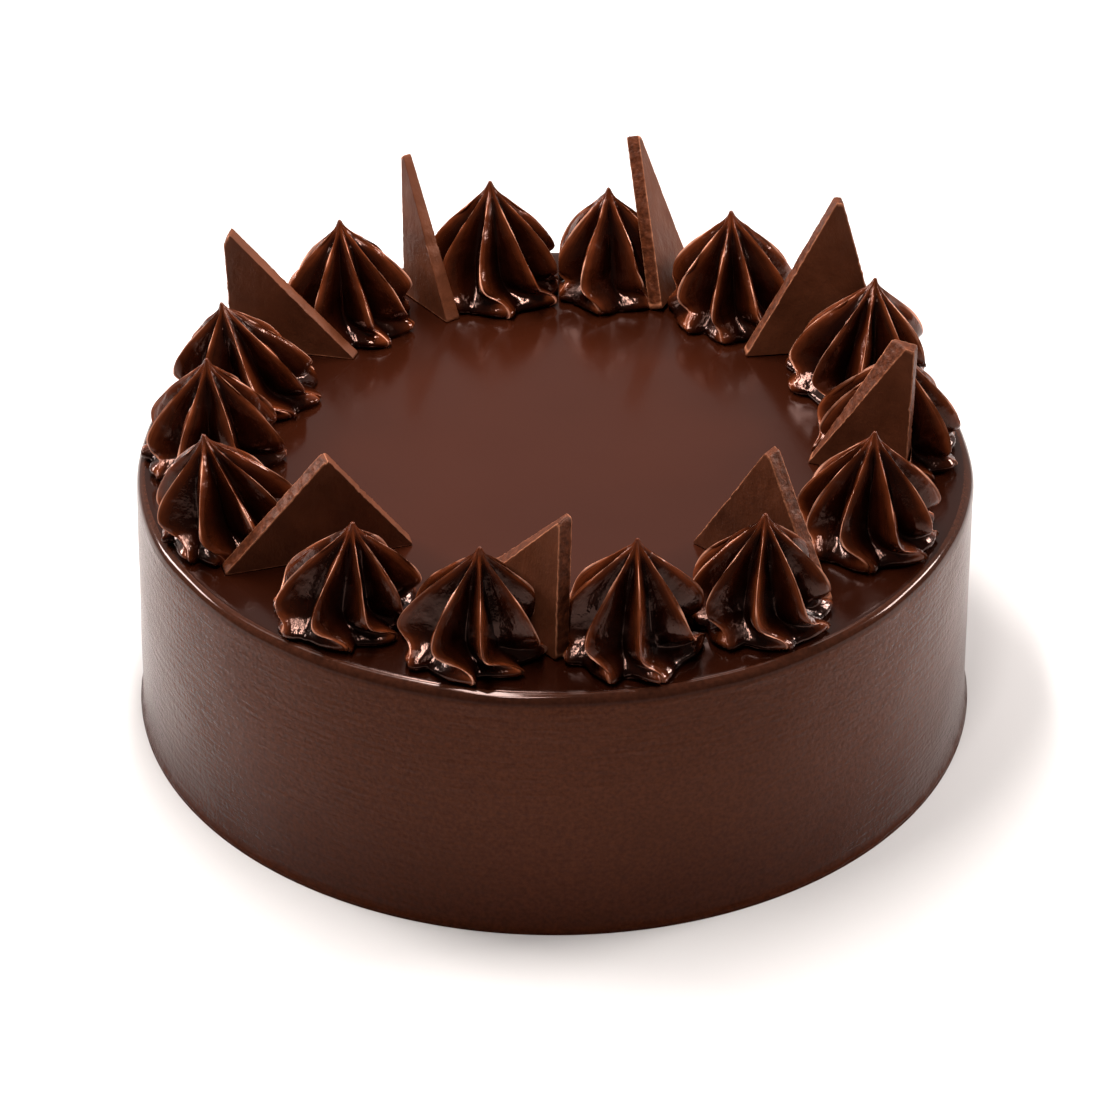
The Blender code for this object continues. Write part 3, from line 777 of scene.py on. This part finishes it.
def shard_frame(shard):
    """A shard's own directions (along, up, through) as columns, and the place of its inner foot."""
    run, lean = np.radians(shard[3:5])
    along = np.array([math.cos(run), math.sin(run), 0.0])
    side = np.array([-math.sin(run), math.cos(run), 0.0])
    up = np.array([0.0, 0.0, math.cos(lean)]) + side * math.sin(lean)
    through = np.cross(along, up)
    height = TOP_HEIGHT + SHARD_LIFT + abs(math.sin(lean)) * shard[5] / 2.0
    foot = np.append(plan_point(shard[2], shard[1]), height)
    return np.stack([along, up, through], axis=1), foot


def press_on_shard(points, star, shard):
    """Hold a star back from the face of a shard that stands in it, within the shard's length."""
    axes, foot = shard_frame(shard)
    length = shard[7][1][0]
    centre = (np.append(plan_point(star[3], star[4]), foot[2]) - foot) @ axes
    reach = max(row[0] for row in CREST) + SHARD_REACH
    if abs(centre[2]) > reach or not -reach < centre[0] < length + reach:
        return points
    local = (points - foot) @ axes
    side = math.copysign(1.0, centre[2])
    depth = soft_over(shard[5] / 2.0 - local[..., 2] * side, PRESS_SOFTNESS)
    within = smooth_step(local[..., 0], -PRESS_FADE, 0.0)
    within *= smooth_step(-local[..., 0], -length - PRESS_FADE, -length)
    local[..., 2] += depth * within * side
    return local @ axes.T + foot


def strokes_of(points):
    """Where a star's streaks lie: a circle round the star, drawn out slowly from its tip to its foot."""
    rows, columns, _ = points.shape
    turn = np.broadcast_to(np.linspace(0.0, TAU, columns, endpoint=False)[None, :], (rows, columns))
    along = np.broadcast_to(np.linspace(0.0, STREAK_LENGTH, rows)[:, None], (rows, columns))
    return np.stack([np.cos(turn), np.sin(turn), along], axis=-1)


def make_stars(material):
    """The ring of piped stars."""
    for index, star in enumerate(STARS):
        rng = np.random.default_rng(SEED + STAR_SEED + index)
        points, nearness = star_points(star, rng)
        points = stand_up(star, roughen(points, nearness, rng))
        points = press_on_neighbours(points, index)
        for shard in SHARDS:
            points = press_on_shard(points, star, shard)
        node = f"star_{index + 1:02d}"
        # crest nearness sets the cream's painted shade, painted light and painted highlight line
        values = {"crest": nearness, "stroke": strokes_of(points)}
        piece = closed_piece(f"piped_{node}", points, material, values)
        place(piece, node, "piped_cream")


# The shards.


def walk_round(corner_points):
    """Points round a closed outline, EDGE_STEPS of them on each edge, with its corners a little rounded."""
    parts = []
    for index, steps in enumerate(EDGE_STEPS):
        start = np.array(corner_points[index])
        end = np.array(corner_points[(index + 1) % len(corner_points)])
        share = np.arange(steps)[:, None] / steps
        parts.append(start * (1.0 - share) + end * share)
    points = np.concatenate(parts)
    return 0.25 * np.roll(points, 1, axis=0) + 0.5 * points + 0.25 * np.roll(points, -1, axis=0)


def towards_middle(outline):
    """Unit steps from each point of an outline towards its middle."""
    inward = outline.mean(axis=0) - outline
    return inward / np.linalg.norm(inward, axis=1, keepdims=True)


def chipped(outline, rng):
    """An outline with chips bitten out of it above its foot: slow unevenness and a few sharper bites."""
    turn = np.linspace(0.0, TAU, len(outline), endpoint=False)
    slow = ripples(turn, 0.0, rng, *SLOW_CHIPS)
    quick = ripples(turn, 0.0, rng, *QUICK_CHIPS)
    bites = CHIP_DEPTH * (np.abs(slow) + np.maximum(quick, 0.0) ** 2)
    bites *= smooth_step(outline[:, 1], *CHIP_HEIGHTS)
    return outline + towards_middle(outline) * bites[:, None]


def border_of(outline):
    """A line just inside an outline, BORDER_WIDTH from it, or less where the outline is near its middle."""
    inward = outline.mean(axis=0) - outline
    distance = np.linalg.norm(inward, axis=1, keepdims=True)
    return outline + inward * np.minimum(BORDER_WIDTH / distance, BORDER_SHARE)


def face_rows(outline, side):
    """Rows of a face from near its middle to its border, as (outline, side, edge value).

    A point is on the line from the face's middle to the outline, and the rings enclose equal steps of area.
    """
    middle = outline.mean(axis=0)
    shares = np.sqrt((np.arange(FACE_RINGS) + FACE_START) / FACE_RINGS)
    rings = [(middle * (1.0 - share) + outline * share, side, 0.0) for share in shares]
    return rings + [(border_of(outline), side, BORDER_VALUE)]


def edge_rows(far, near, rng):
    """Rows over the broken edge from the far outline to the near one, as (outline, side, edge value).

    The angle goes half a turn. A point passes from one outline to the other, is drawn in by EDGE_ROUND at
    each of them, and is rough between them.
    """
    rows = []
    for angle in np.linspace(0.0, math.pi, EDGE_ROWS):
        share = (1.0 - math.cos(angle)) / 2.0
        outline = far * (1.0 - share) + near * share
        rough = rng.normal(0.0, EDGE_ROUGHNESS, len(outline))[:, None] * math.sin(angle)
        drawn_in = EDGE_ROUND * (1.0 - math.sin(angle)) ** 2 + rough
        value = BORDER_VALUE + (1.0 - BORDER_VALUE) * math.sin(angle)
        rows.append((outline + towards_middle(outline) * drawn_in, -math.cos(angle), value))
    return rows


def make_shard(shard, material):
    """One shard: the rows go from the middle of the far face over the edge to the middle of the near face.

    Each row is an outline in the plate's plane, set off from it by half the thickness there times its side.
    """
    rng = np.random.default_rng(SEED + SHARD_SEED + shard[0])
    foot_thickness, tip_thickness, far, near = shard[5:]
    axes, foot = shard_frame(shard)
    near_side = 1.0 if (axes.T @ np.array(TOWARDS_FRONT))[2] > 0.0 else -1.0
    far_edge = chipped(walk_round(far), rng)
    near_edge = chipped(walk_round(near), rng)
    rows = face_rows(far_edge, -1.0) + edge_rows(far_edge, near_edge, rng) + face_rows(near_edge, 1.0)[::-1]
    outlines = np.stack([row[0] for row in rows])
    sides = np.array([row[1] for row in rows])[:, None]
    # edge sets the broken edge's colour and, at the border, a painted highlight
    edge = np.array([row[2] for row in rows])[:, None] * smooth_step(outlines[..., 1], *EDGE_AND_HIGHLIGHT_HEIGHTS)
    tip_height = max(corner[1] for corner in far)
    half = (foot_thickness + (tip_thickness - foot_thickness) * outlines[..., 1] / tip_height) / 2.0
    local = np.concatenate([outlines, (sides * half * near_side)[..., None]], axis=-1)
    if near_side < 0.0:
        local = local[:, ::-1]
    points = local @ axes.T + foot
    node = f"shard_{shard[0]}"
    piece = closed_piece(f"chocolate_{node}", points, material, {"edge": edge})
    place(piece, node, "chocolate_shard")


# Stage.

VIEW_ELEVATION = 33.6
VIEW_DISTANCE = 1.06
VIEW_SHIFT = (-0.00106, 0.039)
FOCAL_LENGTH = 137.56
SENSOR = 36.0
CLIP_END = 20.0
FLOOR_SIZE = 8.0
FLOOR_COLOUR = (0.66, 0.638, 0.632)
FLOOR_ROUGHNESS = 0.6
LIGHT_COLOUR = (1.0, 0.965, 0.94)
STUDIO_COLOUR = (1.0, 0.955, 0.93)
# The studio's strength in front of the cake and behind it, and between which places along y it changes.
STUDIO_STRENGTH = (0.08, 0.55)
STUDIO_REACH = (0.2, 0.7)
# Soft lights, in metres and watts: name, place, the point that it faces, width and height, power.
LIGHTS = (
    ("back_window", (-0.1, 0.62, 1.30), (0.0, 0.0, 0.05), (1.5, 0.22), 5.0),
    ("top_window", (-0.06, 0.04, 0.46), (-0.06, 0.04, 0.05), (0.36, 0.06), 3.3),
    ("front_window", (-0.1, -0.45, 1.25), (0.0, 0.0, 0.05), (0.18, 0.16), 5.0),
    ("left_window", (-0.72, 0.30, 0.46), (-0.04, 0.0, 0.07), (0.34, 0.15), 7.0),
    ("right_window", (0.74, 0.20, 0.44), (0.04, 0.0, 0.07), (0.34, 0.15), 7.8),
)


def make_floor():
    """A plain pale floor."""
    bpy.ops.mesh.primitive_plane_add(size=FLOOR_SIZE, location=(0.0, 0.0, 0.0))
    floor = bpy.context.object
    floor.name = "floor"
    material = bpy.data.materials.new("pale_floor")
    material.use_nodes = True
    shader = material.node_tree.nodes["Principled BSDF"]
    shader.inputs["Base Color"].default_value = (*FLOOR_COLOUR, 1.0)
    shader.inputs["Roughness"].default_value = FLOOR_ROUGHNESS
    floor.data.materials.append(material)


def make_light(name, position, target, size, power):
    """A soft rectangular light that faces its target, with its width level."""
    light = bpy.data.lights.new(name, "AREA")
    light.shape = "RECTANGLE"
    light.size, light.size_y = size
    light.energy = power
    light.color = LIGHT_COLOUR
    lamp = bpy.data.objects.new(name, light)
    bpy.context.scene.collection.objects.link(lamp)
    direction = np.array(target) - np.array(position)
    level = math.hypot(direction[0], direction[1])
    tilt = math.atan2(level, -direction[2])
    bearing = math.atan2(direction[1], direction[0])
    lamp.location = position
    lamp.rotation_euler = (tilt, 0.0, bearing - math.pi / 2.0)


def make_surroundings():
    """A pale studio all round, dimmer towards the side from which the cake is looked at."""
    world = bpy.data.worlds.new("studio")
    bpy.context.scene.world = world
    world.use_nodes = True
    tree = world.node_tree
    background = tree.nodes["Background"]
    coordinates = tree.nodes.new("ShaderNodeTexCoord")
    parts = tree.nodes.new("ShaderNodeSeparateXYZ")
    tree.links.new(coordinates.outputs["Generated"], parts.inputs["Vector"])
    strength = spread(tree, parts.outputs["Y"], *STUDIO_REACH, *STUDIO_STRENGTH)
    tree.links.new(strength, background.inputs["Strength"])
    background.inputs["Color"].default_value = (*STUDIO_COLOUR, 1.0)


def make_camera():
    """The view of the photograph."""
    elevation = math.radians(VIEW_ELEVATION)
    back = VIEW_DISTANCE * math.cos(elevation)
    up = VIEW_DISTANCE * math.sin(elevation)
    camera = bpy.data.objects.new("camera", bpy.data.cameras.new("camera"))
    bpy.context.scene.collection.objects.link(camera)
    camera.location = (VIEW_SHIFT[0], -back, up + VIEW_SHIFT[1])
    camera.rotation_euler = (math.pi / 2.0 - elevation, 0.0, 0.0)
    camera.data.sensor_width = SENSOR
    camera.data.lens = FOCAL_LENGTH
    camera.data.clip_end = CLIP_END
    bpy.context.scene.camera = camera


make_camera()
make_floor()
make_surroundings()
for one_light in LIGHTS:
    make_light(*one_light)
bpy.context.scene.view_settings.view_transform = "Standard"

make_drum(make_coat())
make_glaze(make_glaze_finish())
make_stars(make_cream())
shard_finish = make_shard_finish()
for one_shard in SHARDS:
    make_shard(one_shard, shard_finish)
